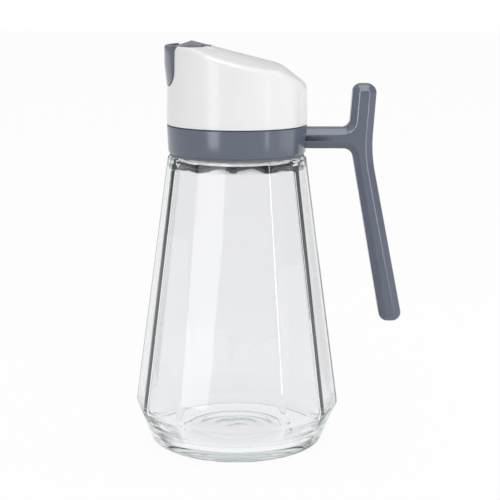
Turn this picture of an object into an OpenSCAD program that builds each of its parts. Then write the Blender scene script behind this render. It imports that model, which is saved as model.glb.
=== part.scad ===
// Glass syrup dispenser: faceted carafe, collar with a hanging handle, and a pull-off pouring head
// whose flap is kept shut by its own weight and swung open by two steel slugs when it is tipped.
// The origin is the centre of the foot. +Z is up, the handle is on +X and the spout on -X.

/* [Carafe] */
// Number of flat sides
facet_count = 12; // [8:1:16]
// Turn of the first corner from the spout-to-handle line
facet_turn = 87.2; // [80:0.1:95]
// Largest radius, at the rounded corners of the belly
belly_r = 52.2; // [50:0.2:54]
// Height of the belly edge
belly_z = 18.7; // [16:0.1:24]
// Half height of the narrow round band at the belly edge
belly_band = 0.8; // [0.4:0.1:1.5]
// How far the corners of the shoulder stand out from the neck
shoulder_w = 4.4; // [4:0.1:5.5]
// Height of the shoulder edge above the table
shoulder_z = 145.5; // [130:0.5:160]
// Radius that rounds the shoulder edge
shoulder_round = 2; // [1:0.1:2]
// How far the sharp corners of the flats stand outside the rounded ones
corner_trim = 0.26; // [0.1:0.02:0.6]
// Radius of the foot below the belly chamfer
foot_r = 44.5; // [42:0.5:46]
// Height of the small rounded heel
heel = 1.5; // [1:0.1:3]
// Outer radius of the shallow hollow under the foot
punt_r = 29; // [24:0.5:34]
// Depth of the hollow under the foot
punt_d = 1.2; // [0.6:0.1:2]
// Height of the inner floor
glass_floor = 5; // [4:0.5:8]
// Glass thickness behind the middle of a flat side
glass_wall = 3.1; // [2.4:0.1:3.6]
// Radius between inner wall and inner floor
floor_round = 12; // [8:0.5:14]
// Radius of the inner wall at the belly
belly_round = 8; // [4:0.5:16]

/* [Neck] */
// Outer radius of the neck
neck_r = 30.5; // [27:0.1:34]
// Thickness of the neck's wall
neck_wall = 3; // [2.6:0.1:3.4]
// Height of the neck above the shoulder
neck_h = 13; // [11.5:0.1:15]
// How far the snap bead stands out of the neck
bead_out = 1; // [0.6:0.1:1.1]
// Radius of the bead's round section
bead_section = 1.3; // [1:0.1:1.5]
// Drop from the rim to the middle of the bead
bead_drop = 3.5; // [3:0.1:4]

/* [Collar] */
// Width from the neck to the collar's outer top edge
collar_t = 4.55; // [4.1:0.05:5.5]
// Narrowing of the outer wall from top to bottom
collar_draft = 0.65; // [0.3:0.05:1]
// Gap between the glass shoulder and the bottom edge
collar_gap = 1; // [0.5:0.1:2]
// How far the collar stands above the glass rim
collar_over = 1.9; // [1.6:0.1:3]
// Rounding of the bottom edge
collar_round = 1.2; // [0.6:0.1:1.4]
// Thickness of the thin upper wall
collar_wall = 1.85; // [1.4:0.05:2]
// Width of the flat pad inside the collar behind the handle
pad_w = 18; // [14:0.5:20]

/* [Lock ring and gasket] */
// Height of the lock ring
lock_h = 2.4; // [1.6:0.1:2.6]
// Gap between the pad and each end of the lock ring
lock_end = 1.5; // [1:0.1:4]
// Width of the gasket's section
gasket_w = 2.9; // [2:0.1:3]
// How deep the gasket sits in the collar
gasket_seat = 1; // [0.6:0.1:1.4]

/* [Handle] */
// Width of the bevel along every edge of the handle
bevel = 3.4; // [2.6:0.1:3.8]
// Depth of the handle from front to back
handle_depth = 12.5; // [11:0.5:14]
// Depth of the straight side between the bevels
side_depth = 7; // [5:0.5:8]
// How far the arm's middle line is above the collar's
arm_up = 0.55; // [0:0.05:1]
// Height of the arm
arm_h = 10.4; // [9.6:0.1:10.8]
// Length of the arm from the collar to the grip's inner corner
arm_l = 22.15; // [18:0.05:26]
// How far the foot's outer corner stands out from the arm's end
grip_spread = 27.5; // [24:0.1:31]
// Width of the grip at its foot
grip_foot_w = 11.4; // [10.5:0.1:12.5]
// Width of the grip under the arm
grip_neck_w = 10; // [9:0.1:11]
// Length of the grip below the arm
grip_l = 88.5; // [75:0.5:100]
// Height of the thumb horn above the arm
horn_h = 21.8; // [16:0.1:28]
// Width of the thumb horn
horn_w = 11.8; // [10.5:0.1:12.5]
// Lean of the horn away from the axis
horn_lean = 4; // [0:0.5:8]
// Length of a handle screw
screw_l = 12; // [9:0.5:14]
// Radius of a handle screw's shank
screw_r = 1.25; // [1:0.05:1.5]
// Radius of a handle screw's head
screw_head_r = 2.3; // [2:0.05:2.4]
// Gap between the heads of the two handle screws
screw_gap = 0.4; // [0.2:0.05:0.8]
// Radius in the corner under the arm
elbow_round = 5; // [3:0.5:8]
// Radius in the corner between arm and horn
crotch_round = 4; // [3:0.5:6]
// Radius of the bend at the back of the handle
bend_round = 74.6; // [60:0.2:90]

/* [Head] */
// Gap between collar and head
seam = 0.45; // [0.3:0.05:0.8]
// Draft of the head's side wall in degrees
head_draft = 0.9; // [0:0.1:1.2]
// Thickness of the side wall at the seam
head_wall = 2.2; // [1.8:0.1:2.3]
// Thickness of the roof
roof_t = 2; // [1.6:0.1:2.4]
// Height of the roof's middle above the seam
roof_h = 35.15; // [31:0.05:40]
// Slope of the main roof in degrees
roof_slope = 14.1; // [12:0.1:15]
// Distance of the roof's crease from the axis
crease_x = 21.8; // [18:0.2:25]
// Slope of the roof behind the crease in degrees
rear_slope = 37.6; // [30:0.2:42]
// Radius of the roof's crown across the head
crown_r = 155; // [130:5:200]
// How far the rim that the flap lies in is above the roof's middle
rim_up = 3.5; // [3.3:0.1:3.7]

/* [Inner lid] */
// Thickness of the head's floor
lid_t = 2; // [1.6:0.1:2.4]
// Wall of the plug
plug_wall = 1.7; // [1.4:0.1:2]
// Depth of the plug in the glass
plug_d = 9.5; // [7:0.5:12]
// Radial thickness of the plug's seal
seal_t = 1.1; // [0.8:0.05:1.4]
// Radius of the vent valve's stem
vent_r = 2; // [1.5:0.1:2.5]
// Place of the vent valve behind the axis
vent_x = 13; // [8:0.5:16]

/* [Spout] */
// Inner width of the pouring duct
duct_w = 15; // [12:0.5:15.2]
// Inner depth of the pouring duct
duct_d = 8; // [6:0.2:8.6]
// Wall of the pouring duct
duct_wall = 1.3; // [1:0.1:1.4]
// Lean of the duct towards the front in degrees
duct_lean = 16; // [14:0.5:17]
// Gap between the duct's front and the head's wall
duct_front_gap = 1.6; // [1.2:0.1:2]
// Gap between the duct's mouth and the flap's pad
pad_gap = 0.1; // [0.1:0.05:0.4]
// Thickness of the duct's foot flange
flange_t = 1.6; // [1.2:0.1:2]

/* [Flap] */
// Slope of the flap's front in degrees
flap_front_slope = 18.9; // [16:0.1:22]
// Distance of the flap's peak in front of the axis
peak_x = 22.8; // [21:0.1:24]
// Radius of the flap's curved rear edge
flap_arc_r = 35.7; // [34:0.1:38]
// Distance of the rear edge in front of the axis
flap_rear_x = 13.1; // [12.8:0.1:13.6]
// Gap round the flap
flap_gap = 0.35; // [0.3:0.05:0.45]
// Thickness of the flap at the rim
flap_t = 1.7; // [1.5:0.1:1.9]
// Half width of the tongue
tongue_half = 16.6; // [14:0.1:17]
// Length of the tongue
tongue_l = 19.4; // [16:0.2:24]
// Length of the tongue's tapered lower part
tongue_taper = 10; // [6:0.5:14]
// Height of the tongue's lip above the rim
lip_up = 0.3; // [0:0.1:0.9]
// How far the tongue's front stands out from the head's foot
tongue_out = 0.95; // [0.8:0.05:1.5]
// Depth of the recess that the tongue lies in
recess_d = 0.85; // [0.6:0.05:0.9]
// Radius of the tongue's lower corners
tongue_corner = 7; // [4:0.5:9]
// Thickness of the silicone pad
pad_t = 1.3; // [1:0.1:1.4]

/* [Hinge] */
// Distance of the hinge axis from the flap's rear edge
hinge_in = 1.5; // [1.3:0.1:1.7]
// Height of the hinge axis above the flap's underside
hinge_up = 0.35; // [0.2:0.05:0.5]
// Radius of the hinge pin
pin_r = 0.75; // [0.6:0.05:0.8]
// Running clearance round the pin
pin_fit = 0.04; // [0.02:0.01:0.08]
// Radius of the flap's barrel
barrel_r = 1.6; // [1.4:0.05:1.7]
// Half width of the flap's barrel
barrel_half = 9; // [8.8:0.1:9.2]
// Width of a lug beside the barrel
lug_w = 3.8; // [3:0.1:4.2]

/* [Weights] */
// Radius of a steel slug
slug_r = 3.45; // [3:0.05:3.6]
// Length of a steel slug
slug_l = 5.2; // [4:0.1:5.4]
// Wall of the cup round a slug
cup_wall = 0.85; // [0.7:0.05:1]
// Drop from the hinge axis to the slugs
slug_drop = 10.1; // [9:0.1:10.5]
// How far behind the hinge axis the slugs sit
slug_back = 2; // [0.5:0.1:2.5]
// Thickness of a weight arm
arm_t = 2.4; // [1.8:0.1:2.6]
// Length of the plate that joins a weight arm to the flap
arm_foot_l = 6.4; // [5:0.2:8]
// Radius of an arm screw's shank
arm_screw_r = 0.8; // [0.6:0.05:1]

/* [Hidden] */
$fn = 96;
fine = 192;
crown_fn = 360;
eps = 0.01;
far = 120;

glass = [0.86, 0.91, 0.90, 0.45];
grey_blue = [0.44, 0.46, 0.53];
white = [0.93, 0.93, 0.93];
silicone = [0.80, 0.80, 0.80];
steel = [0.70, 0.71, 0.73];

function corner_to_flat(r) = r * cos(180 / facet_count);

// Outer glass. The side line runs straight from the belly to the shoulder
shoulder_r = neck_r + shoulder_w;
neck_z = shoulder_z + shoulder_round;
rim_z = neck_z + neck_h;
bore_r = neck_r - neck_wall;
flat_belly_r = corner_to_flat(belly_r + corner_trim);
flat_shoulder_r = corner_to_flat(shoulder_r + corner_trim);
flat_foot_r = corner_to_flat(foot_r + corner_trim);
flat_tilt = atan((flat_belly_r - flat_shoulder_r) / (shoulder_z - belly_z));
foot_tilt = atan((flat_belly_r - flat_foot_r) / (belly_z - heel));

// Inner glass
inner_slope = (flat_belly_r - flat_shoulder_r) / (shoulder_z - belly_z);
inner_k = sqrt(1 + inner_slope * inner_slope);
function inner_r(z) = flat_belly_r - glass_wall * inner_k - inner_slope * (z - belly_z);
foot_slope = (flat_belly_r - flat_foot_r) / (belly_z - heel);
foot_k = sqrt(1 + foot_slope * foot_slope);
function inner_foot_r(z) = flat_belly_r - glass_wall * foot_k + foot_slope * (z - belly_z);
inner_belly_z = belly_z + glass_wall * (foot_k - inner_k) / (foot_slope + inner_slope);
throat_z = shoulder_z - 5;
inner_corner = 1.02;
inner_foot_corner = 1.01;

// Collar, lock ring and gasket
fit = 0.15;
collar_r = neck_r + collar_t;
collar_z = neck_z + collar_gap;
collar_top = rim_z + collar_over;
collar_h = collar_top - collar_z;
bead_r = neck_r + bead_out;
bead_z = rim_z - bead_drop;
bead_gap = 0.25;
ledge_r = bead_r + 0.4;
pocket_r = collar_r - collar_wall;
lock_gap = pad_w + 2 * lock_end;
lock_z = bead_z - bead_section - bead_gap - lock_h;
ledge_z = lock_z - 0.05;
lock_in_r = neck_r + fit;
lock_out_r = pocket_r - 0.1;
gasket_in_r = neck_r + 0.2;

// Handle. The flat front face is drawn, and the bevels are added round it
arm_z = (collar_z + collar_top) / 2 + arm_up;
horn_z = arm_z + arm_h / 2 + horn_h;
grip_foot_z = arm_z - arm_h / 2 - grip_l;
elbow_x = collar_r + arm_l;
grip_reach = elbow_x + grip_spread;
screw_pitch = 2 * screw_head_r + screw_gap;
flat_arm_h = arm_h - 2 * bevel;
horn_top = horn_z - bevel;
foot_bottom = grip_foot_z + bevel;
elbow_z = arm_z - flat_arm_h / 2;
crotch_z = arm_z + flat_arm_h / 2;
grip_out_x = grip_reach - bevel;
grip_in_x = grip_out_x - (grip_foot_w - 2 * bevel);
elbow_flat_x = elbow_x + bevel;
bend_x = elbow_flat_x + grip_neck_w - 2 * bevel;
horn_root_x = bend_x - (horn_w - 2 * bevel) + 0.7;
tip_round = 1;
screw_z = [arm_z - screw_pitch / 2, arm_z + screw_pitch / 2];
screw_x = ledge_r + 0.2;
sink_h = screw_head_r - screw_r;

// Head
head_z = collar_top + seam;
head_h = roof_h + 2 * rim_up;
head_top = head_z + head_h + 5;
roof_z = head_z + roof_h;
mouth_rim_z = roof_z + rim_up;
head_in_r = collar_r - head_wall;
function head_r(z) = collar_r - (z - head_z) * tan(head_draft);
crease_z = roof_z - crease_x * tan(roof_slope);
peak_z = roof_z + peak_x * tan(roof_slope);
flap_arc_x = flap_rear_x + flap_arc_r;

// Inner lid and its seals
lid_z = head_z + 0.2;
lid_r = head_in_r - 0.05;
plug_r = bore_r - seal_t;
plug_in_r = plug_r - plug_wall;
seal_fit = 0.05;
seal_flange_r = neck_r - 0.2;

// Duct. Its front wall meets the mouth a little behind the head's front wall
flap_base_z = mouth_rim_z - flap_t;
duct_top_z = flap_base_z - pad_t - pad_gap;
duct_front_x = head_in_r - duct_front_gap;
duct_out_w = duct_w + 2 * duct_wall;
duct_out_d = duct_d + 2 * duct_wall;
duct_foot_z = lid_z + lid_t;
duct_h = duct_top_z - duct_foot_z;
duct_across = duct_out_d / cos(duct_lean);
lip_out_x = head_in_r + 0.8;

// Flap
hinge_x = flap_rear_x + hinge_in;
hinge_z = flap_base_z + hinge_up;
lip_z = mouth_rim_z + lip_up;
tongue_z = lip_z - tongue_l;
tongue_r = collar_r + tongue_out;
recess_r = head_r(mouth_rim_z) - recess_d;
tongue_in_r = recess_r + 0.3;
notch_half = tongue_half + 0.4;
flap_front_r = head_in_r - flap_gap;
flap_rear_r = flap_arc_r - flap_gap - 0.05;
notch_x = flap_front_r - 7.5;
lug_in = barrel_half + 0.35;
lug_out = lug_in + lug_w;
lug_front_x = hinge_x + 1.8;
flap_cut_x = lug_front_x + 0.65;
lug_room = 2;
pad_front_x = duct_front_x;
pad_rear_x = duct_front_x - duct_across - 0.6;
pad_half = duct_out_w / 2 - 0.2;

// Weights
arm_in = duct_out_w / 2 + 0.7;
cup_r = slug_r + cup_wall;
cup_in = arm_in;
cup_floor = cup_in + 1;
cap_t = 1;
cup_out = cup_floor + slug_l + cap_t;
slug_x = -hinge_x + slug_back;
slug_z = hinge_z - slug_drop;
arm_foot_rear = flap_cut_x + 1.15;
arm_foot_front = arm_foot_rear + arm_foot_l;
arm_foot_t = 1.6;
arm_screw_x = (arm_foot_front + arm_foot_rear) / 2;
arm_screw_l = 3.4;

// Replaces each corner [x, y, r] of an outline by an arc of radius r that is tangent to its sides
function unit(v) = v / norm(v);
function corner_arc(a, b, c, r, n) =
    let (u = unit([a.x - b.x, a.y - b.y]), v = unit([c.x - b.x, c.y - b.y]),
         half = acos(u * v) / 2, t = r / tan(half), mid = unit(u + v),
         centre = [b.x, b.y] + mid * (r / sin(half)),
         p = [b.x, b.y] + u * t - centre, q = [b.x, b.y] + v * t - centre,
         sweep = 180 - 2 * half, turn = sign(p.x * q.y - p.y * q.x))
    [for (i = [0:n]) let (w = turn * sweep * i / n)
        centre + [p.x * cos(w) - p.y * sin(w), p.x * sin(w) + p.y * cos(w)]];
function rounded(corners, n = 8) = [
    for (i = [0:len(corners) - 1])
        let (a = corners[(i + len(corners) - 1) % len(corners)], b = corners[i],
             c = corners[(i + 1) % len(corners)])
        each (b[2] > 0 ? corner_arc(a, b, c, b[2], n) : [[b.x, b.y]])
];

// A ring between two radii and two heights
module ring(r_out, r_in, z0, z1) {
    translate([0, 0, z0])
        difference() {
            cylinder(r = r_out, h = z1 - z0, $fn = fine);
            translate([0, 0, -1]) cylinder(r = r_in, h = z1 - z0 + 2, $fn = fine);
        }
}

// A cylinder across the head, from y0 to y1, about the line at x and z
module cross_bar(x, z, r, y0, y1, fn = 48) {
    translate([x, y0, z]) rotate([-90, 0, 0]) cylinder(r = r, h = y1 - y0, $fn = fn);
}

// Keeps what lies under a crowned roof whose middle line passes through x and z at a slope
module under_roof(x, z, slope, drop = 0) {
    translate([x, 0, z])
        rotate([0, slope, 0])
            translate([0, 0, -crown_r])
                rotate([0, 90, 0])
                    cylinder(r = crown_r - drop, h = 2 * far, center = true, $fn = crown_fn);
}

module mirror_y(left) {
    if (left) children();
    else mirror([0, 1, 0]) children();
}

module glass_blank() {
    rotate_extrude($fn = fine)
        difference() {
            union() {
                polygon([
                    [0, 0], [foot_r - heel, 0], [foot_r, heel], [belly_r, belly_z - belly_band],
                    [belly_r, belly_z + belly_band], [shoulder_r, shoulder_z], [shoulder_r - shoulder_round, neck_z],
                    [neck_r, neck_z], [neck_r, rim_z - 1], [neck_r - 1, rim_z], [0, rim_z]
                ]);
                translate([shoulder_r - shoulder_round, shoulder_z]) circle(r = shoulder_round);
                translate([bead_r - bead_section, bead_z]) circle(r = bead_section);
            }
            polygon([[-1, -1], [punt_r - punt_d, -1], [punt_r, 0], [punt_r - 2 * punt_d, punt_d], [-1, punt_d]]);
        }
}

// A block whose inner face leans by tilt degrees and passes r from the axis at height z
module flat_cut(r, z, tilt) {
    translate([r, 0, z])
        rotate([0, tilt, 0])
            translate([0, -far / 2, -far]) cube([far, far, 2 * far]);
}

// The flats all round the glass, at a distance from the axis at the belly, above it and below it
module flat_cuts(r_up, r_down) {
    for (i = [0:facet_count - 1])
        rotate([0, 0, facet_turn + (i + 0.5) * 360 / facet_count - 90]) {
            flat_cut(r_up, belly_z, -flat_tilt);
            flat_cut(r_down, belly_z, foot_tilt);
        }
}

// The hollow is blown, so it follows the flats and the chamfer, with softer corners between them
module glass_hollow() {
    difference() {
        rotate_extrude($fn = fine)
            polygon(rounded([
                [0, glass_floor, 0], [inner_foot_r(glass_floor) * inner_foot_corner, glass_floor, floor_round],
                [inner_r(inner_belly_z) * inner_corner, inner_belly_z, belly_round],
                [inner_r(throat_z) * inner_corner, throat_z, 0],
                [bore_r, neck_z, 0], [bore_r, rim_z + 1, 0], [0, rim_z + 1, 0]
            ], 10));
        flat_cuts(inner_r(belly_z), inner_foot_r(belly_z));
    }
}

module carafe() {
    color(glass)
        difference() {
            glass_blank();
            flat_cuts(flat_belly_r, flat_belly_r);
            glass_hollow();
        }
}

module neck_gasket() {
    color(grey_blue)
        ring(gasket_in_r + gasket_w, gasket_in_r, neck_z + 0.02, collar_z + gasket_seat);
}

module collar_ring() {
    bottom_r = collar_r - collar_draft;
    color(grey_blue)
        difference() {
            rotate_extrude($fn = fine) {
                polygon([
                    [ledge_r, collar_z], [bottom_r - collar_round, collar_z],
                    [bottom_r, collar_z + collar_round], [collar_r, collar_top], [ledge_r, collar_top]
                ]);
                translate([bottom_r - collar_round, collar_z + collar_round]) circle(r = collar_round);
            }
            // Upper pocket, which leaves a pad behind the handle in the gap of the lock ring
            difference() {
                translate([0, 0, ledge_z]) cylinder(r = pocket_r, h = collar_h, $fn = fine);
                translate([ledge_r / 2, -pad_w / 2, ledge_z - 1]) cube([far, pad_w, collar_top - 0.5 - ledge_z + 1]);
            }
            translate([0, 0, collar_z - 1])
                cylinder(r = gasket_in_r + gasket_w + 0.05, h = 1 + gasket_seat, $fn = fine);
            for (z = screw_z) screw_shape(z, 0.05, 2);
        }
}

// A C-shaped ring under the glass bead. It keeps the collar on the neck
module lock_ring() {
    color(white)
        difference() {
            ring(lock_out_r, lock_in_r, lock_z, lock_z + lock_h);
            translate([0, -lock_gap / 2, lock_z - 1]) cube([far, lock_gap, lock_h + 2]);
        }
}

// A countersunk screw that points outwards from inside the collar, grown by a clearance
module screw_shape(z, grow, before = 0) {
    translate([screw_x, 0, z]) rotate([0, 90, 0]) {
        translate([0, 0, -before]) cylinder(r = screw_head_r + grow, h = before + 0.3, $fn = 48);
        translate([0, 0, 0.3]) cylinder(r1 = screw_head_r + grow, r2 = screw_r + grow, h = sink_h, $fn = 48);
        cylinder(r = screw_r + grow, h = screw_l + grow, $fn = 48);
    }
}

module handle_screws() {
    color(steel)
        for (z = screw_z)
            difference() {
                screw_shape(z, 0);
                for (turn = [0, 90])
                    translate([screw_x, 0, z]) rotate([turn, 0, 0])
                        translate([-1, -0.35, -1.3]) cube([1.8, 0.7, 2.6]);
            }
}

module handle_face() {
    polygon(rounded([
        [collar_r - 8, elbow_z, 0], [elbow_flat_x, elbow_z, elbow_round + bevel],
        [grip_in_x, foot_bottom, tip_round], [grip_out_x, foot_bottom, tip_round],
        [bend_x, elbow_z - 4.5, bend_round + bevel],
        [bend_x + (horn_top - elbow_z) * tan(horn_lean), horn_top, tip_round],
        [horn_root_x + (horn_top - crotch_z) * tan(horn_lean), horn_top, tip_round],
        [horn_root_x, crotch_z, crotch_round + bevel], [collar_r - 8, crotch_z, 0]
    ]));
}

module handle() {
    color(grey_blue)
        difference() {
            minkowski() {
                rotate([90, 0, 0]) linear_extrude(height = side_depth, center = true) handle_face();
                for (side = [0, 1])
                    mirror([0, side, 0])
                        rotate([90, 0, 0])
                            cylinder(r1 = bevel, r2 = 0, h = (handle_depth - side_depth) / 2, $fn = 20);
            }
            // Hollow end that seats on the collar
            translate([0, 0, collar_z])
                cylinder(r1 = collar_r - collar_draft + 0.02, r2 = collar_r + 0.02, h = collar_h, $fn = fine);
            for (z = screw_z) screw_shape(z, 0.02);
        }
}

// The head's outer form with its sloping crowned roof, or the same shrunk by a wall and a roof
module head_form(wall = 0, roof = 0) {
    intersection() {
        translate([0, 0, head_z])
            if (wall == 0)
                cylinder(r1 = collar_r, r2 = head_r(head_z + head_h), h = head_h, $fn = fine);
            else
                translate([0, 0, -1]) cylinder(r = collar_r - wall, h = head_h, $fn = fine);
        under_roof(0, roof_z, roof_slope, roof);
        under_roof(crease_x, crease_z, rear_slope, roof);
    }
}

// Plan of the opening in the roof: a lens between the head's wall and the flap's rear arc
module mouth_plan(front_r, rear_r) {
    intersection() {
        circle(r = front_r, $fn = fine);
        translate([-flap_arc_x, 0]) circle(r = rear_r, $fn = fine);
    }
}

module head_shell() {
    difference() {
        color(white) union() {
            difference() {
                head_form();
                head_form(head_wall, roof_t);
                translate([0, 0, mouth_rim_z - 8])
                    linear_extrude(height = head_h) mouth_plan(head_in_r, flap_arc_r);
                // Level rim round the flap
                translate([-far, -far / 2, mouth_rim_z]) cube([far, far, head_h]);
            }
            // Lugs that hold the ends of the hinge pin
            for (left = [false, true])
                mirror_y(left)
                    intersection() {
                        head_form(head_wall - eps);
                        translate([-lug_front_x, lug_in, hinge_z - 1.75])
                            cube([lug_front_x - 9.8, lug_w, mouth_rim_z - 0.1 - hinge_z + 1.75]);
                    }
        }
        // Recess for the tongue and notches for the flap and the pouring lip
        intersection() {
            ring(far, recess_r, tongue_z - 0.4, head_top);
            translate([-far, -notch_half, tongue_z - 0.4]) cube([far, 2 * notch_half, head_h]);
        }
        translate([-far, -notch_half, flap_base_z - 0.4]) cube([far - notch_x, 2 * notch_half, head_h]);
        translate([-far, -duct_out_w / 2 - 0.05, duct_top_z - 2.05])
            cube([far - notch_x, duct_out_w + 0.1, head_h]);
        // Pocket for the flap's barrel
        cross_bar(-hinge_x, hinge_z, barrel_r + 0.35, -barrel_half - 0.35, barrel_half + 0.35, 64);
        cross_bar(-hinge_x, hinge_z, pin_r + 0.01, -lug_out + 0.6, lug_out - 0.6);
    }
}

// Floor of the head with the plug that goes into the glass mouth
module inner_lid() {
    color(white)
        difference() {
            union() {
                translate([0, 0, lid_z]) cylinder(r = lid_r, h = lid_t, $fn = fine);
                ring(plug_r, plug_in_r, rim_z - plug_d, lid_z + eps);
            }
            duct_space(duct_wall + 0.05, lid_z - 1, duct_foot_z + 1);
            translate([vent_x, 0, lid_z - 1]) cylinder(r = vent_r, h = lid_t + 2);
            for (turn = [60, 180, 300])
                translate([vent_x, 0, lid_z - 1]) rotate([0, 0, turn])
                    translate([vent_r + 1.3, 0, 0]) cylinder(r = 0.7, h = lid_t + 2, $fn = 24);
        }
}

// The slanted space of the duct, grown by a wall, between two heights
module duct_space(wall, z0, z1) {
    deep = (duct_d + 2 * wall) / cos(duct_lean);
    intersection() {
        translate([-duct_front_x + duct_across / 2, 0, duct_top_z])
            multmatrix([[1, 0, -tan(duct_lean), 0], [0, 1, 0, 0], [0, 0, 1, 0], [0, 0, 0, 1]])
                translate([-deep / 2, -duct_w / 2 - wall, -2 * duct_h])
                    cube([deep, duct_w + 2 * wall, 3 * duct_h]);
        translate([-far, -far, z0]) cube([2 * far, 2 * far, z1 - z0]);
    }
}

module pour_spout() {
    color(white)
        difference() {
            union() {
                duct_space(duct_wall, lid_z + 0.3, duct_top_z);
                duct_space(duct_wall + 1.8, duct_foot_z + 0.8, duct_foot_z + 0.8 + flange_t);
                // Lip that carries the syrup over the head's wall
                intersection() {
                    translate([-lip_out_x, -duct_out_w / 2, duct_top_z - 2])
                        cube([lip_out_x - duct_front_x + 1, duct_out_w, 2]);
                    cylinder(r = recess_r - 0.05, h = head_top, $fn = fine);
                }
            }
            duct_space(0, 0, head_top);
            translate([-lip_out_x - 1, -duct_w / 2, duct_top_z - 1.1])
                cube([lip_out_x - duct_front_x + 4, duct_w, 3]);
        }
}

module spout_gasket() {
    color(silicone)
        difference() {
            duct_space(duct_wall + 1.6, duct_foot_z, duct_foot_z + 0.8);
            duct_space(duct_wall, 0, head_top);
        }
}

// Silicone sleeve with two lips and a flange that lies on the glass rim
module plug_seal() {
    color(silicone)
        difference() {
            union() {
                ring(bore_r - 0.45, plug_r, rim_z - plug_d + 1, lid_z);
                ring(seal_flange_r, plug_r, rim_z + 0.1, lid_z);
                for (drop = [3, 6])
                    ring(bore_r - seal_fit, plug_r, rim_z - drop - 0.6, rim_z - drop + 0.6);
            }
        }
}

// Soft valve that lets air in through the floor
module vent_valve() {
    color(silicone)
        translate([vent_x, 0, 0]) {
            translate([0, 0, lid_z - 0.8]) cylinder(r = vent_r + 2.4, h = 0.8);
            translate([0, 0, lid_z - eps]) cylinder(r = vent_r - 0.02, h = lid_t + 2 * eps);
            translate([0, 0, lid_z + lid_t]) cylinder(r = vent_r + 0.6, h = 1.2);
        }
}

module hinge_pin() {
    color(steel)
        cross_bar(-hinge_x, hinge_z, pin_r, -lug_out + 0.65, lug_out - 0.65);
}

// The tongue's front view: a plate with two round lower corners
module tongue_plan() {
    translate([-tongue_half, tongue_z + tongue_corner])
        square([2 * tongue_half, lip_z - tongue_z - tongue_corner]);
    translate([-tongue_half + tongue_corner, tongue_z])
        square([2 * (tongue_half - tongue_corner), lip_z - tongue_z]);
    for (side = [-1, 1])
        translate([side * (tongue_half - tongue_corner), tongue_z + tongue_corner])
            circle(r = tongue_corner);
}

module flap_lid() {
    taper_z = tongue_z + tongue_taper;
    color(grey_blue)
        difference() {
            union() {
                // Lens-shaped top that carries the roof's slope on to its peak
                intersection() {
                    translate([0, 0, flap_base_z])
                        linear_extrude(height = head_h) mouth_plan(flap_front_r, flap_rear_r);
                    under_roof(0, roof_z, roof_slope);
                    under_roof(-peak_x, peak_z, -flap_front_slope);
                }
                // Bridge over the rim
                intersection() {
                    ring(tongue_in_r + 1, flap_front_r - 4, flap_base_z, flap_base_z + 1.4);
                    translate([-far, -tongue_half, 0]) cube([far - notch_x + 5, 2 * tongue_half, head_top]);
                }
                // Tongue on the front wall, thinner towards its lower end
                intersection() {
                    rotate([90, 0, -90]) linear_extrude(height = far) tongue_plan();
                    difference() {
                        union() {
                            translate([0, 0, taper_z]) cylinder(r = tongue_r, h = tongue_l, $fn = fine);
                            translate([0, 0, tongue_z])
                                cylinder(r1 = tongue_r - 1.1, r2 = tongue_r, h = taper_z - tongue_z, $fn = fine);
                        }
                        translate([0, 0, tongue_z - 1]) cylinder(r = tongue_in_r, h = 2 * tongue_l, $fn = fine);
                    }
                }
                // Barrel on the hinge pin
                intersection() {
                    union() {
                        cross_bar(-hinge_x, hinge_z, barrel_r, -barrel_half, barrel_half, 64);
                        translate([-flap_cut_x - 1, -barrel_half, flap_base_z])
                            cube([flap_cut_x + 1 - hinge_x, 2 * barrel_half, 3]);
                    }
                    under_roof(0, roof_z, roof_slope);
                }
            }
            // Room for the lugs, behind the barrel and for the pin
            for (side = [-1, 1])
                translate([-flap_cut_x, side > 0 ? barrel_half : -lug_out - lug_room, hinge_z - 5])
                    cube([20, lug_out + lug_room - barrel_half, 10]);
            difference() {
                translate([-hinge_x, -barrel_half - 1, hinge_z - 5]) cube([8, 2 * barrel_half + 2, 10]);
                cross_bar(-hinge_x, hinge_z, barrel_r, -barrel_half - 2, barrel_half + 2, 64);
            }
            cross_bar(-hinge_x, hinge_z, pin_r + pin_fit, -barrel_half - 2, barrel_half + 2);
            for (side = [-1, 1])
                translate([-arm_screw_x, side * (arm_in + arm_t), flap_base_z - 1])
                    cylinder(r = arm_screw_r + 0.02, h = arm_screw_l - 0.6, $fn = 24);
        }
}

module flap_pad() {
    color(silicone)
        translate([-pad_front_x, -pad_half, flap_base_z - pad_t])
            cube([pad_front_x - pad_rear_x, 2 * pad_half, pad_t]);
}

// Arm under the flap that carries a weight cup beside the duct
module weight_arm(left) {
    foot_w = 2 * arm_t;
    color(white)
        mirror_y(left)
            difference() {
                union() {
                    translate([0, arm_in + arm_t, 0])
                        rotate([90, 0, 0])
                            linear_extrude(height = arm_t)
                                polygon([
                                    [-arm_foot_front, flap_base_z], [-arm_foot_front, flap_base_z - arm_foot_t],
                                    [slug_x - cup_r * 0.9, slug_z + cup_r * 0.4],
                                    [slug_x, slug_z], [slug_x + cup_r * 0.4, slug_z + cup_r * 0.9],
                                    [-arm_foot_rear, flap_base_z]
                                ]);
                    translate([-arm_foot_front, arm_in, flap_base_z - arm_foot_t])
                        cube([arm_foot_l, foot_w, arm_foot_t]);
                    cross_bar(slug_x, slug_z, cup_r, cup_in, cup_out, 64);
                }
                cross_bar(slug_x, slug_z, slug_r, cup_floor, cup_out + 1, 64);
                translate([-arm_screw_x, arm_in + arm_t, flap_base_z - slug_drop])
                    cylinder(r = arm_screw_r + 0.9, h = slug_drop - arm_foot_t / 2, $fn = 32);
                translate([-arm_screw_x, arm_in + arm_t, flap_base_z - slug_drop])
                    cylinder(r = arm_screw_r + 0.05, h = 2 * slug_drop, $fn = 24);
            }
}

module flap_weight(left) {
    color(steel)
        mirror_y(left) cross_bar(slug_x, slug_z, slug_r - 0.02, cup_floor, cup_floor + slug_l, 64);
}

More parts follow.
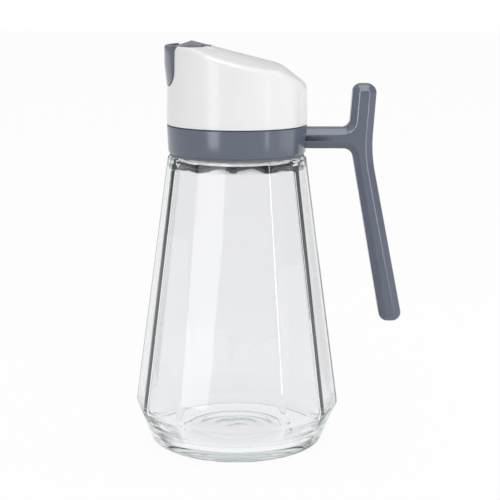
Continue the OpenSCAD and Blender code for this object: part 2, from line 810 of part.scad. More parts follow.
module weight_cap(left) {
    color(grey_blue)
        mirror_y(left) cross_bar(slug_x, slug_z, slug_r - 0.02, cup_out - cap_t, cup_out, 64);
}

module arm_screws() {
    color(steel)
        for (side = [-1, 1])
            translate([-arm_screw_x, side * (arm_in + arm_t), flap_base_z - arm_foot_t / 2]) {
                translate([0, 0, -arm_foot_t / 2])
                    cylinder(r = arm_screw_r + 0.8, h = arm_foot_t / 2, $fn = 32);
                translate([0, 0, -eps])
                    cylinder(r = arm_screw_r, h = arm_screw_l - arm_foot_t / 2, $fn = 24);
            }
}

carafe();
neck_gasket();
collar_ring();
lock_ring();
handle();
handle_screws();
head_shell();
inner_lid();
pour_spout();
spout_gasket();
plug_seal();
vent_valve();
hinge_pin();
flap_lid();
flap_pad();
weight_arm(true);  // weight_arm_left
weight_arm(false);  // weight_arm_right
flap_weight(true);  // flap_weight_left
flap_weight(false);  // flap_weight_right
weight_cap(true);  // weight_cap_left
weight_cap(false);  // weight_cap_right
arm_screws();
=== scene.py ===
# %% [markdown]
# # A glass syrup dispenser in Blender
# The dispenser is a twelve-sided glass carafe with a grey-blue collar and handle and a white pouring
# head. Its hidden parts come from the construction model, and the pieces that catch the light are
# modelled again here, because glass and glossy plastic show every edge. We start by loading the frame.

# %% Load the frame
import math

import bmesh
import bpy
from mathutils import Matrix, Vector


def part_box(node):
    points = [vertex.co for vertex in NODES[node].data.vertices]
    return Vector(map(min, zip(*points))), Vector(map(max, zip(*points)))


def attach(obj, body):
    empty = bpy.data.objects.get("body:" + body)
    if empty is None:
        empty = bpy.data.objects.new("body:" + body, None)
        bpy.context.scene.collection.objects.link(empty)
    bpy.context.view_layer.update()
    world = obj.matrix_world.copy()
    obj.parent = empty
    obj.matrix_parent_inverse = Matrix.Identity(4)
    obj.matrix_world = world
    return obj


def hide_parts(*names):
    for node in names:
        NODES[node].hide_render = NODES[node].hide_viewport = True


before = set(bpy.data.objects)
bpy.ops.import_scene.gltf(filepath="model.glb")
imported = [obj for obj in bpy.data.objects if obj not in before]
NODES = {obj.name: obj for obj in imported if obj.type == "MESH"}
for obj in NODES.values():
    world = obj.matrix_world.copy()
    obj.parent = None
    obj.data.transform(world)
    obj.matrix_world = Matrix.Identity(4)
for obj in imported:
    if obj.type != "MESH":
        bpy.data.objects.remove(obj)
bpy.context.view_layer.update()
MM = 0.001

# %% [markdown]
# ## The camera
# The photograph looks down on the dispenser by about eleven degrees from two thirds of a metre. A long
# lens keeps the sides nearly parallel. The focal length follows from how many pixels a head of known
# width covers, so it is written as a real distance and a real size, not as a matched picture. The
# upright edges lean by a fifth of a degree, so the camera is rolled by as much.

# %% Camera
CAMERA_PLACE = Vector((6.7, -668.0, 231.3)) * MM
CAMERA_PITCH = 11.26
CAMERA_ROLL = 0.2
FOCAL_PIXELS = 1337.0
PICTURE_PIXELS = 500.0


def make_camera():
    data = bpy.data.cameras.new("camera")
    data.sensor_width = 36.0
    data.lens = FOCAL_PIXELS / PICTURE_PIXELS * data.sensor_width
    data.clip_start = 0.01
    data.clip_end = 50.0
    camera = bpy.data.objects.new("camera", data)
    camera.location = CAMERA_PLACE
    upright = Matrix.Rotation(math.radians(90.0 - CAMERA_PITCH), 4, "X")
    camera.rotation_euler = (upright @ Matrix.Rotation(math.radians(CAMERA_ROLL), 4, "Z")).to_euler()
    bpy.context.scene.collection.objects.link(camera)
    bpy.context.scene.camera = camera
    print("lens", round(data.lens, 1), "mm")


make_camera()

# %% [markdown]
# ## Node helpers
# Every material is a small node tree. One helper adds a node and sets its inputs, so that the recipes
# below stay short enough to read.


# %% Node helpers
def add_node(tree, kind, inputs=None, **settings):
    node = tree.nodes.new(kind)
    for name, value in settings.items():
        setattr(node, name, value)
    for name, value in (inputs or {}).items():
        if isinstance(value, bpy.types.NodeSocket):
            tree.links.new(value, node.inputs[name])
        else:
            node.inputs[name].default_value = value
    return node


def new_material(name):
    material = bpy.data.materials.new(name)
    material.use_nodes = True
    tree = material.node_tree
    tree.nodes.clear()
    output = add_node(tree, "ShaderNodeOutputMaterial")
    return material, tree, output


def new_group(name, inputs, outputs):
    group = bpy.data.node_groups.new(name, "ShaderNodeTree")
    for socket, (kind, value) in inputs.items():
        made = group.interface.new_socket(socket, in_out="INPUT", socket_type=kind)
        made.default_value = value
    for socket, kind in outputs.items():
        group.interface.new_socket(socket, in_out="OUTPUT", socket_type=kind)
    enter = group.nodes.new("NodeGroupInput")
    leave = group.nodes.new("NodeGroupOutput")
    return group, enter, leave


# %% [markdown]
# ## Moulded surface
# Injection moulded plastic is never perfectly even. It has a very fine grain from the polished tool, a
# slow waviness where it shrank, and a few hairline marks from handling. A picture of those marks could
# be wrapped round the part, but noise measured in the object's own millimetres needs no unwrapping and
# looks the same on every piece, so the effect is a node group that each plastic places with its own
# amounts.


# %% Moulded surface group
def moulded_surface_group():
    group, enter, leave = new_group(
        "moulded_surface",
        {
            "Grain Size": ("NodeSocketFloat", 900.0),
            "Waviness": ("NodeSocketFloat", 0.3),
            "Roughness": ("NodeSocketFloat", 0.2),
            "Roughness Change": ("NodeSocketFloat", 0.05),
            "Base": ("NodeSocketColor", (0.5, 0.5, 0.5, 1.0)),
            "Shade Change": ("NodeSocketFloat", 0.03),
        },
        {"Color": "NodeSocketColor", "Roughness": "NodeSocketFloat", "Height": "NodeSocketFloat"},
    )
    place = add_node(group, "ShaderNodeTexCoord")
    grain = add_node(group, "ShaderNodeTexNoise", {
        "Vector": place.outputs["Object"], "Scale": enter.outputs["Grain Size"], "Detail": 2.0})
    slow = add_node(group, "ShaderNodeTexNoise", {
        "Vector": place.outputs["Object"], "Scale": 55.0, "Detail": 1.0})
    marks = add_node(group, "ShaderNodeTexVoronoi", {
        "Vector": place.outputs["Object"], "Scale": 140.0, "Randomness": 1.0},
        feature="DISTANCE_TO_EDGE")
    hairline = add_node(group, "ShaderNodeMapRange", {
        "Value": marks.outputs["Distance"], "From Min": 0.0, "From Max": 0.012,
        "To Min": 1.0, "To Max": 0.0})
    wave = add_node(group, "ShaderNodeMath", {
        0: slow.outputs["Fac"], 1: enter.outputs["Waviness"]}, operation="MULTIPLY")
    grain_height = add_node(group, "ShaderNodeMath", {
        0: grain.outputs["Fac"], 1: 0.12, 2: wave.outputs[0]}, operation="MULTIPLY_ADD")
    group.links.new(grain_height.outputs[0], leave.inputs["Height"])
    centred = add_node(group, "ShaderNodeMath", {0: slow.outputs["Fac"], 1: 0.5}, operation="SUBTRACT")
    scuffed = add_node(group, "ShaderNodeMath", {
        0: hairline.outputs["Result"], 1: 0.35, 2: centred.outputs[0]}, operation="MULTIPLY_ADD")
    rough = add_node(group, "ShaderNodeMath", {
        0: scuffed.outputs[0], 1: enter.outputs["Roughness Change"], 2: enter.outputs["Roughness"]},
        operation="MULTIPLY_ADD")
    group.links.new(rough.outputs[0], leave.inputs["Roughness"])
    bright = add_node(group, "ShaderNodeMath", {
        0: centred.outputs[0], 1: enter.outputs["Shade Change"], 2: 1.0}, operation="MULTIPLY_ADD")
    shade = add_node(group, "ShaderNodeVectorMath", {
        0: enter.outputs["Base"], "Scale": bright.outputs[0]}, operation="SCALE")
    group.links.new(shade.outputs[0], leave.inputs["Color"])
    return group


MOULDED = moulded_surface_group()
print("group", MOULDED.name, "has", len(MOULDED.nodes), "nodes")

# %% [markdown]
# ## Plastics and silicone
# The collar, the handle and the flap are one grey-blue plastic with a satin gloss: the studio's strip
# lights show in it as bands with soft edges. The head is a bright white of the same make. Both use the
# moulded surface. Silicone is softer: light goes a little way in, so it gets some subsurface.


# %% Plastics
def plastic(name, colour, roughness, wave, subsurface=0.0, bump=0.02, grain=900.0, shade=0.04,
            specular=0.5):
    material, tree, output = new_material(name)
    surface = add_node(tree, "ShaderNodeGroup")
    surface.node_tree = MOULDED
    surface.inputs["Grain Size"].default_value = grain
    surface.inputs["Waviness"].default_value = wave
    surface.inputs["Roughness"].default_value = roughness
    surface.inputs["Roughness Change"].default_value = roughness * 0.5
    surface.inputs["Base"].default_value = (*colour, 1.0)
    surface.inputs["Shade Change"].default_value = shade
    relief = add_node(tree, "ShaderNodeBump", {
        "Height": surface.outputs["Height"], "Strength": bump, "Distance": 0.0004})
    shader = add_node(tree, "ShaderNodeBsdfPrincipled", {
        "Base Color": surface.outputs["Color"], "Roughness": surface.outputs["Roughness"],
        "Normal": relief.outputs["Normal"], "IOR": 1.5, "Specular IOR Level": specular,
        "Subsurface Weight": subsurface, "Subsurface Radius": (0.004, 0.004, 0.003),
        "Subsurface Scale": 0.5})
    tree.links.new(shader.outputs["BSDF"], output.inputs["Surface"])
    return material


GREY_BLUE = plastic("grey_blue_plastic", (0.118, 0.136, 0.183), 0.17, 0.25)
WHITE = plastic("white_plastic", (0.89, 0.89, 0.89), 0.2, 0.3, subsurface=0.06, specular=0.22)
GREY_SILICONE = plastic("grey_silicone", (0.16, 0.17, 0.2), 0.55, 0.5, bump=0.05)
CLEAR_SILICONE = plastic("clear_silicone", (0.72, 0.72, 0.70), 0.42, 0.5, subsurface=0.35, bump=0.05)

# %% [markdown]
# ## Steel
# The pin, the screws and the slugs are plain stainless steel. Turning leaves fine rings in it, so the
# roughness runs in thin bands. A stretched noise gives that without any drawing.


# %% Steel
def turned_steel():
    material, tree, output = new_material("turned_steel")
    place = add_node(tree, "ShaderNodeTexCoord")
    stretch = add_node(tree, "ShaderNodeMapping", {
        "Vector": place.outputs["Object"], "Scale": (300.0, 6000.0, 300.0)})
    bands = add_node(tree, "ShaderNodeTexNoise", {"Vector": stretch.outputs["Vector"], "Detail": 3.0})
    rough = add_node(tree, "ShaderNodeMapRange", {
        "Value": bands.outputs["Fac"], "To Min": 0.18, "To Max": 0.42})
    relief = add_node(tree, "ShaderNodeBump", {
        "Height": bands.outputs["Fac"], "Strength": 0.1, "Distance": 0.0001})
    shader = add_node(tree, "ShaderNodeBsdfPrincipled", {
        "Base Color": (0.62, 0.62, 0.63, 1.0), "Metallic": 1.0,
        "Roughness": rough.outputs["Result"], "Normal": relief.outputs["Normal"]})
    tree.links.new(shader.outputs["BSDF"], output.inputs["Surface"])
    return material


STEEL = turned_steel()

# %% [markdown]
# ## Glass
# Clear glass has no colour of its own until you look along it. Then the iron in it shows as a
# grey-green. So apart from the painted shade below, the surface is clear, and the glass's own
# colour is an absorption inside the volume: a thin wall stays bright and the long way through an
# edge goes dark. Shadow rays pass freely, because the floor would otherwise need very many samples
# to find the light that comes through.
#
# In a white studio real glass still has dark lines, where it bends the view to the dark room. Painting
# the room would darken everything else, so these dark reflections are painted on the glass instead.
# Masks on the mesh's points turn its base colour to a painted dark grey-green in a band under the
# collar and in patches on the chamfer. They also mix in a dark matte shader as painted dark lines
# wherever the wall is seen at a grazing angle. Light that is still caught in the wall after six turns
# ends in a painted dim grey-green glow, and not in black.


# %% Glass material
def clear_glass():
    material, tree, output = new_material("clear_glass")
    place = add_node(tree, "ShaderNodeTexCoord")
    wave = add_node(tree, "ShaderNodeTexNoise", {
        "Vector": place.outputs["Object"], "Scale": 38.0, "Detail": 1.0})
    relief = add_node(tree, "ShaderNodeBump", {
        "Height": wave.outputs["Fac"], "Strength": 0.06, "Distance": 0.001})
    # Painted shade: a mask darkens the glass's colour in a band just under the collar and in patches on
    # the chamfer, as painted dark reflections. A stretched noise breaks that shade into patches.
    under_collar_shade = add_node(tree, "ShaderNodeAttribute", attribute_name="under_collar_shade")
    patch_stretch = add_node(tree, "ShaderNodeMapping", {
        "Vector": place.outputs["Object"], "Scale": (70.0, 70.0, 420.0)})
    shade_patch_noise = add_node(tree, "ShaderNodeTexNoise", {
        "Vector": patch_stretch.outputs["Vector"], "Scale": 1.0, "Detail": 3.0, "Distortion": 1.2})
    shade_patches = add_node(tree, "ShaderNodeMapRange", {
        "Value": shade_patch_noise.outputs["Fac"], "From Min": 0.36, "From Max": 0.56})
    edge = add_node(tree, "ShaderNodeLayerWeight", {"Blend": 0.5})
    turned = add_node(tree, "ShaderNodeMapRange", {
        "Value": edge.outputs["Facing"], "From Min": 0.42, "From Max": 0.60})
    chamfer = add_node(tree, "ShaderNodeAttribute", attribute_name="chamfer")
    where = add_node(tree, "ShaderNodeMath", {
        0: chamfer.outputs["Fac"], 1: turned.outputs["Result"], 2: under_collar_shade.outputs["Fac"]},
        operation="MULTIPLY_ADD")
    painted_dark_amount = add_node(tree, "ShaderNodeMath", {
        0: where.outputs[0], 1: shade_patches.outputs["Result"]}, operation="MULTIPLY")
    # Painted reflection: where the masks say, the base colour turns from near white to a dark
    # grey-green.
    painted_dark_reflection = add_node(tree, "ShaderNodeMix", {
        0: painted_dark_amount.outputs[0], 6: (0.935, 0.935, 0.95, 1.0), 7: (0.05, 0.075, 0.065, 1.0)},
        data_type="RGBA")
    shader = add_node(tree, "ShaderNodeBsdfPrincipled", {
        "Base Color": painted_dark_reflection.outputs[2], "Metallic": 0.0, "Roughness": 0.0, "IOR": 1.5,
        "Transmission Weight": 1.0, "Normal": relief.outputs["Normal"]})
    # Painted dark lines: where the wall is seen at a grazing angle, a dark matte shader is mixed in, in
    # patches, as painted dark reflections.
    hollow = add_node(tree, "ShaderNodeAttribute", attribute_name="hollow")
    start = add_node(tree, "ShaderNodeMapRange", {
        "Value": hollow.outputs["Fac"], "To Min": 0.90, "To Max": 0.74})
    end = add_node(tree, "ShaderNodeMath", {0: start.outputs["Result"], 1: 0.12}, operation="ADD")
    grazing = add_node(tree, "ShaderNodeMapRange", {
        "Value": edge.outputs["Facing"], "From Min": start.outputs["Result"],
        "From Max": end.outputs[0], "To Max": 0.92}, interpolation_type="SMOOTHSTEP")
    wall = add_node(tree, "ShaderNodeAttribute", attribute_name="wall")
    patchy = add_node(tree, "ShaderNodeMapRange", {
        "Value": shade_patches.outputs["Result"], "To Min": 0.45, "To Max": 0.9})
    amount = add_node(tree, "ShaderNodeMath", {
        0: grazing.outputs["Result"], 1: wall.outputs["Fac"]}, operation="MULTIPLY")
    uneven = add_node(tree, "ShaderNodeMath", {
        0: amount.outputs[0], 1: patchy.outputs["Result"]}, operation="MULTIPLY")
    dark = add_node(tree, "ShaderNodeBsdfDiffuse", {"Color": (0.07, 0.10, 0.085, 1.0)})
    body = add_node(tree, "ShaderNodeMixShader", {
        0: uneven.outputs[0], 1: shader.outputs["BSDF"], 2: dark.outputs["BSDF"]})
    clear = add_node(tree, "ShaderNodeBsdfTransparent", {"Color": (0.93, 0.94, 0.94, 1.0)})
    # Painted glow: a ray still in the glass after six bounces ends in a dim grey-green emission,
    # stronger in the foot, and not in black.
    path = add_node(tree, "ShaderNodeLightPath")
    trapped = add_node(tree, "ShaderNodeMath", {
        0: path.outputs["Ray Depth"], 1: 5.5}, operation="GREATER_THAN")
    glow = add_node(tree, "ShaderNodeMapRange", {
        "Value": wall.outputs["Fac"], "From Min": 0.2, "From Max": 0.9, "To Min": 5.2, "To Max": 1.0})
    lost_light = add_node(tree, "ShaderNodeEmission", {
        "Color": (0.105, 0.12, 0.115, 1.0), "Strength": glow.outputs["Result"]})
    inside = add_node(tree, "ShaderNodeMixShader", {
        0: trapped.outputs[0], 1: body.outputs["Shader"], 2: lost_light.outputs["Emission"]})
    mix = add_node(tree, "ShaderNodeMixShader", {
        0: path.outputs["Is Shadow Ray"], 1: inside.outputs["Shader"], 2: clear.outputs["BSDF"]})
    depth = add_node(tree, "ShaderNodeVolumeAbsorption", {
        "Color": (0.74, 0.79, 0.79, 1.0), "Density": 12.0})
    tree.links.new(mix.outputs["Shader"], output.inputs["Surface"])
    tree.links.new(depth.outputs["Volume"], output.inputs["Volume"])
    return material


GLASS = clear_glass()

# %% [markdown]
# ## Mesh helpers
# Most of the pieces are skins over rings of points. One helper stitches rings into a closed mesh, and
# another turns a short list of radii and heights into a lathed part with round edges. Smooth shading
# needs a limit, so edges that turn by more than a set angle are marked sharp.


# %% Mesh helpers
def mark_sharp(mesh, degrees):
    limit = math.radians(degrees)
    bm = bmesh.new()
    bm.from_mesh(mesh)
    for face in bm.faces:
        face.smooth = True
    for edge in bm.edges:
        edge.smooth = len(edge.link_faces) == 2 and edge.calc_face_angle(0.0) < limit
    bm.to_mesh(mesh)
    bm.free()


def make_object(name, points, faces, sharp=35.0):
    mesh = bpy.data.meshes.new(name)
    mesh.from_pydata(points, [], faces)
    bm = bmesh.new()
    bm.from_mesh(mesh)
    bmesh.ops.recalc_face_normals(bm, faces=bm.faces)
    bm.to_mesh(mesh)
    bm.free()
    mark_sharp(mesh, sharp)
    obj = bpy.data.objects.new(name, mesh)
    bpy.context.scene.collection.objects.link(obj)
    return obj


def stitch(name, rings, sharp=35.0, close_loop=False):
    """Rings of equally many points, in millimetres, become a closed skin. Its ends are capped."""
    count = len(rings[0])
    points = [Vector(p) * MM for ring in rings for p in ring]
    faces = []
    last = len(rings) if close_loop else len(rings) - 1
    for j in range(last):
        low = j * count
        high = (j + 1) % len(rings) * count
        for i in range(count):
            k = (i + 1) % count
            faces.append((low + i, low + k, high + k, high + i))
    if not close_loop:
        faces.append(tuple(range(count)))
        faces.append(tuple(range(len(points) - count, len(points))))
    return make_object(name, points, faces, sharp)


def arc(centre, radius, start, end, steps):
    """Points of an arc in a plane, in degrees."""
    out = []
    for i in range(steps + 1):
        a = math.radians(start + (end - start) * i / steps)
        out.append((centre[0] + radius * math.cos(a), centre[1] + radius * math.sin(a)))
    return out


def lathe(name, outline, steps=256, sharp=35.0):
    """A closed outline of (radius, height) points, turned about the carafe's axis."""
    rings = []
    for radius, height in outline:
        ring = []
        for i in range(steps):
            a = 2.0 * math.pi * i / steps
            ring.append((radius * math.cos(a), radius * math.sin(a), height))
        rings.append(ring)
    return stitch(name, rings, sharp, close_loop=True)


def clamp(value):
    return min(1.0, max(0.0, value))


def fillet(a, b, c, radius, steps=5):
    """The arc of a radius that rounds the corner b between a and c."""
    a, b, c = Vector(a), Vector(b), Vector(c)
    u, v = (a - b).normalized(), (c - b).normalized()
    half = math.acos(max(-1.0, min(1.0, u.dot(v)))) / 2.0
    centre = b + (u + v).normalized() * (radius / math.sin(half))
    p = b + u * (radius / math.tan(half)) - centre
    q = b + v * (radius / math.tan(half)) - centre
    sweep = math.pi - 2.0 * half
    turn = 1.0 if p.x * q.y - p.y * q.x > 0 else -1.0
    out = []
    for i in range(steps + 1):
        w = turn * sweep * i / steps
        out.append((centre.x + p.x * math.cos(w) - p.y * math.sin(w),
                    centre.y + p.x * math.sin(w) + p.y * math.cos(w)))
    return out


def rounded_outline(corners, steps=5):
    """Corners (x, y, radius) become a closed outline with an arc at each corner that has a radius."""
    out = []
    for i, (x, y, radius) in enumerate(corners):
        if radius > 0:
            before, after = corners[i - 1], corners[(i + 1) % len(corners)]
            out += fillet(before[:2], (x, y), after[:2], radius, steps)
        else:
            out.append((x, y))
    return out


def dress(obj, material):
    obj.data.materials.clear()
    obj.data.materials.append(material)
    return obj


def settle(obj, material, body, slot, *replaced):
    """Gives a new piece its finish, its body and the construction nodes that it stands for."""
    dress(obj, material)
    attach(obj, body)
    if replaced:
        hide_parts(*replaced)
    print(obj.name, "has", len(obj.data.polygons), "faces")
    return obj


# %% [markdown]
# ## The carafe
# The real carafe is blown in a mould. The mould gives twelve flat sides outside, and the air presses
# the wall into them, so the hollow follows the flats with softer corners. Light that bends through the
# two skins draws the dark and bright lines beside each corner. So both skins are real here, and a
# single skin with a thickness modifier wouldn't do. Each level is a rounded twelve-sided outline.
# Towards the foot and the neck it melts into a circle.

# %% Carafe sizes, from the construction model
carafe_low, carafe_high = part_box("carafe")
FACETS = 12
FIRST_CORNER = -2.8
RIM_Z = carafe_high.z / MM
BELLY_Z = 18.7
SHOULDER_Z = 145.5
NECK_Z = SHOULDER_Z + 2.0
SHARP_CORNER = 1.0 / math.cos(math.pi / FACETS)
BELLY_FLAT = 50.67
SHOULDER_FLAT = 33.96
FOOT_FLAT = 43.7
CORNER_ROUND = 7.0
NECK_R = 30.5
BORE_R = 27.5
BEAD_R = 31.5
BEAD_Z = RIM_Z - 3.5
GLASS_FLOOR = 5.0
PUNT_R = 28.0
PUNT_DOME = ((0.4, 2.0), (10.0, 1.95), (18.0, 1.7), (24.0, 1.35), (26.6, 1.1))
WALL_AT_SIDE = 3.13
WALL_AT_FOOT = 3.33
FOOT_SLOPE = 0.3957
RIPPLE = 0.06
print("carafe", round(RIM_Z, 1), "mm high")


# %% Carafe outline at one level
def facet_ring(flat, z, roundness, corner_round=CORNER_ROUND):
    """A twelve-sided outline at a distance flat from the axis. roundness 1 makes it a circle."""
    corner_points, flat_points = 8, 6
    half = math.pi / FACETS
    centre_r = (flat - corner_round) * SHARP_CORNER
    ring = []
    for facet in range(FACETS):
        corner = math.radians(FIRST_CORNER) + 2.0 * half * facet
        outline = []
        for i in range(corner_points + 1):
            a = corner - half + 2.0 * half * i / corner_points
            outline.append((centre_r * math.cos(corner) + corner_round * math.cos(a),
                            centre_r * math.sin(corner) + corner_round * math.sin(a)))
        side = corner + half
        start = outline[-1]
        width = 2.0 * (centre_r * math.sin(half))
        along = (-math.sin(side), math.cos(side))
        for i in range(1, flat_points):
            t = width * i / flat_points
            outline.append((start[0] + along[0] * t, start[1] + along[1] * t))
        for x, y in outline:
            r = math.hypot(x, y)
            even = flat + (r - flat) * (1.0 - roundness)
            ring.append((x / r * even, y / r * even, z))
    return ring


def side_flat(z):
    t = (z - BELLY_Z) / (SHOULDER_Z - BELLY_Z)
    return BELLY_FLAT + (SHOULDER_FLAT - BELLY_FLAT) * t


def inner_radius(z):
    slope = (BELLY_FLAT - SHOULDER_FLAT) / (SHOULDER_Z - BELLY_Z)
    return BELLY_FLAT - WALL_AT_SIDE - slope * (z - BELLY_Z)


def inner_foot_radius(z):
    return BELLY_FLAT - WALL_AT_FOOT + FOOT_SLOPE * (z - BELLY_Z)


# %% Carafe levels
def turned(*corner):
    """The levels of a round corner where the carafe is a plain circle."""
    return [(r, z, 1.0) for r, z in fillet(*corner)]


def outer_levels():
    """Levels (radius, height, roundness) from the middle of the foot, up the outside to the rim."""
    levels = [(r, z, 1.0) for r, z in PUNT_DOME]
    levels += turned(PUNT_DOME[-1], (PUNT_R, 0.0), (34.0, 0.0), 0.8, 4)
    levels += [(35.0, 0.0, 1.0), (38.0, 0.0, 1.0)]
    levels += turned((38.0, 0.0), (FOOT_FLAT, 0.0), (BELLY_FLAT, BELLY_Z), 2.8, 7)
    for t in (0.25, 0.35, 0.45, 0.55, 0.65, 0.75, 0.82):
        radius = FOOT_FLAT + (BELLY_FLAT - FOOT_FLAT) * t
        levels.append((radius, BELLY_Z * t, min(1.0, (1.0 - t) / 0.6)))
    belly = fillet((FOOT_FLAT, 0.0), (BELLY_FLAT, BELLY_Z), (SHOULDER_FLAT, SHOULDER_Z), 3.2, 6)
    levels += [(r, z, 0.1 - 0.1 * i / 6) for i, (r, z) in enumerate(belly)]
    for i in range(1, 12):
        z = BELLY_Z + (SHOULDER_Z - BELLY_Z) * i / 12
        levels.append((side_flat(z), z, 0.0))
    shoulder = fillet((side_flat(120.0), 120.0), (side_flat(NECK_Z), NECK_Z), (NECK_R, NECK_Z), 2.3, 6)
    levels += [(r, z, 0.25 * i / 6) for i, (r, z) in enumerate(shoulder)]
    levels += turned((NECK_R + 2.0, NECK_Z), (NECK_R, NECK_Z), (NECK_R, RIM_Z), 0.9, 4)
    levels += [(r, z, 1.0) for r, z in arc((BEAD_R - 1.3, BEAD_Z), 1.3, -75.0, 75.0, 8)]
    levels += turned((NECK_R, BEAD_Z), (NECK_R, RIM_Z), (BORE_R, RIM_Z), 1.2, 5)
    return levels


def inner_levels():
    """The same down the inside, from the rim to the middle of the rippled floor."""
    levels = turned((NECK_R, RIM_Z), (BORE_R, RIM_Z), (BORE_R, BEAD_Z), 1.2, 5)
    throat = (BORE_R, NECK_Z)
    below = (inner_radius(SHOULDER_Z - 5.0), SHOULDER_Z - 5.0)
    low = (inner_radius(30.0), 30.0)
    belly = (inner_radius(BELLY_Z + 0.4), BELLY_Z + 0.4)
    corner = (inner_foot_radius(GLASS_FLOOR), GLASS_FLOOR)
    wall = fillet((BORE_R, RIM_Z), throat, below, 3.0, 6)
    wall += fillet(throat, below, low, 6.0, 6)
    for i in range(1, 10):
        z = below[1] + (low[1] - below[1]) * i / 10
        wall.append((inner_radius(z), z))
    wall += fillet(low, belly, corner, 8.0, 8)
    wall += fillet(belly, corner, (0.0, GLASS_FLOOR), 12.0, 14)
    for r, z in wall:
        near_neck = (z - SHOULDER_Z + 4.0) / 4.0
        near_foot = (BELLY_Z - z) / BELLY_Z / 0.6
        levels.append((r, z, clamp(max(near_neck, near_foot))))
    for i in range(31, -1, -1):
        ripple = RIPPLE * math.cos(i * 2.0 * math.pi / 6.5)
        levels.append((i + 0.4, GLASS_FLOOR - 0.2 * (1.0 - i / 31.0) + ripple, 1.0))
    return levels


# %% Carafe skin with its masks for painted shade
def build_carafe():
    outer = outer_levels()
    rings = []
    masks = {"hollow": [], "under_collar_shade": [], "chamfer": [], "wall": []}
    for i, (radius, z, roundness) in enumerate(outer + inner_levels()):
        rings.append(facet_ring(radius, z, roundness, min(CORNER_ROUND, radius * 0.6)))
        is_outside = i < len(outer)
        # These masks say where the glass's painted shade goes: a band under the collar, patches on the
        # chamfer, and dark lines at grazing angles, fainter in the foot.
        values = {
            "hollow": 0.0 if is_outside else 1.0,
            "under_collar_shade": clamp((z - 146.0) / 1.2),
            "chamfer": clamp((24.0 - z) / 6.0) if is_outside and radius > 40.0 else 0.0,
            "wall": max(0.12, clamp((z - 4.0) / 14.0)),
        }
        for name, value in values.items():
            masks[name] += [value] * len(rings[-1])
    obj = stitch("carafe_glass", rings, sharp=50.0)
    for name, values in masks.items():
        obj.data.attributes.new(name, "FLOAT", "POINT").data.foreach_set("value", values)
    return obj


carafe = settle(build_carafe(), GLASS, "bottle", "glass", "carafe")

# %% [markdown]
# ## The collar
# The collar is a short turned ring. Its upper edge has a tiny radius that draws a light line along the
# seam, and the lower edge is rounder. Turning an outline with arcs at its corners gives both.


# %% Collar
collar_low, collar_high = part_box("collar_ring")
COLLAR_R = 35.05
COLLAR_LOW_R = 34.38
COLLAR_BORE_R = 31.9
COLLAR_SEAT_R = 33.2
COLLAR_Z = collar_low.z / MM
COLLAR_TOP = collar_high.z / MM
COLLAR_SEAT_Z = COLLAR_Z + 4.5


def build_collar():
    corners = [
        (COLLAR_BORE_R, COLLAR_Z, 0.3), (COLLAR_LOW_R, COLLAR_Z, 1.2),
        (COLLAR_R, COLLAR_TOP, 0.35), (COLLAR_SEAT_R, COLLAR_TOP, 0.35),
        (COLLAR_SEAT_R, COLLAR_SEAT_Z, 0.2), (COLLAR_BORE_R, COLLAR_SEAT_Z, 0.2),
    ]
    return lathe("collar_band", rounded_outline(corners, 5))


collar = settle(build_collar(), GREY_BLUE, "bottle", "grey_plastic", "collar_ring")

# %% [markdown]
# ## The handle
# The handle is one moulding with a flat front, wide bevels and flat sides. It could be a curve with a
# bevel profile, but curves pinch where three bars meet. Here its side view is drawn once, and every
# layer of the section is that outline moved inwards by a set amount, so the bevel has an even width
# all the way round.

# %% Handle outline
handle_low, handle_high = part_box("handle")
HANDLE_BEVEL = 3.4
HANDLE_DEPTH = (handle_high.y - handle_low.y) / MM
SIDE_DEPTH = 7.0
GRIP_FOOT_Z = handle_low.z / MM
HORN_Z = handle_high.z / MM
ARM_LOW_Z = 150.8
ARM_HIGH_Z = 161.2
ARM_ROOT_X = 33.9
ELBOW_X = 57.2
GRIP_FOOT_W = 11.4
GRIP_NECK_W = 10.0
HORN_W = 11.8
HORN_LEAN = math.tan(math.radians(4.0))
BACK_BEND_R = 74.6
print("handle", round(HORN_Z - GRIP_FOOT_Z, 1), "mm from grip end to horn")


def handle_outline():
    """The outer side view, from the collar round the grip and the horn and back."""
    end_round = HANDLE_BEVEL + 1.0
    grip_out = handle_high.x / MM + 0.3
    back = ELBOW_X + GRIP_NECK_W
    horn_out = back + (HORN_Z - ARM_LOW_Z) * HORN_LEAN
    horn_root = back - HORN_W + 0.7
    horn_in = horn_root + (HORN_Z - ARM_HIGH_Z) * HORN_LEAN
    corners = [
        (ARM_ROOT_X, ARM_LOW_Z, 0.0), (ELBOW_X, ARM_LOW_Z, 5.0),
        (grip_out - GRIP_FOOT_W, GRIP_FOOT_Z, end_round), (grip_out, GRIP_FOOT_Z, end_round),
        (back, ARM_LOW_Z - 2.0, BACK_BEND_R), (horn_out, HORN_Z, end_round),
        (horn_in, HORN_Z, end_round), (horn_root, ARM_HIGH_Z, 4.0), (ARM_ROOT_X, ARM_HIGH_Z, 0.0),
    ]
    return rounded_outline(corners, 14)


def inward(outline, i):
    """The inward normal of a closed outline at point i."""
    a, b = Vector(outline[i - 1]), Vector(outline[(i + 1) % len(outline)])
    along = (b - a).normalized()
    return Vector((-along.y, along.x))


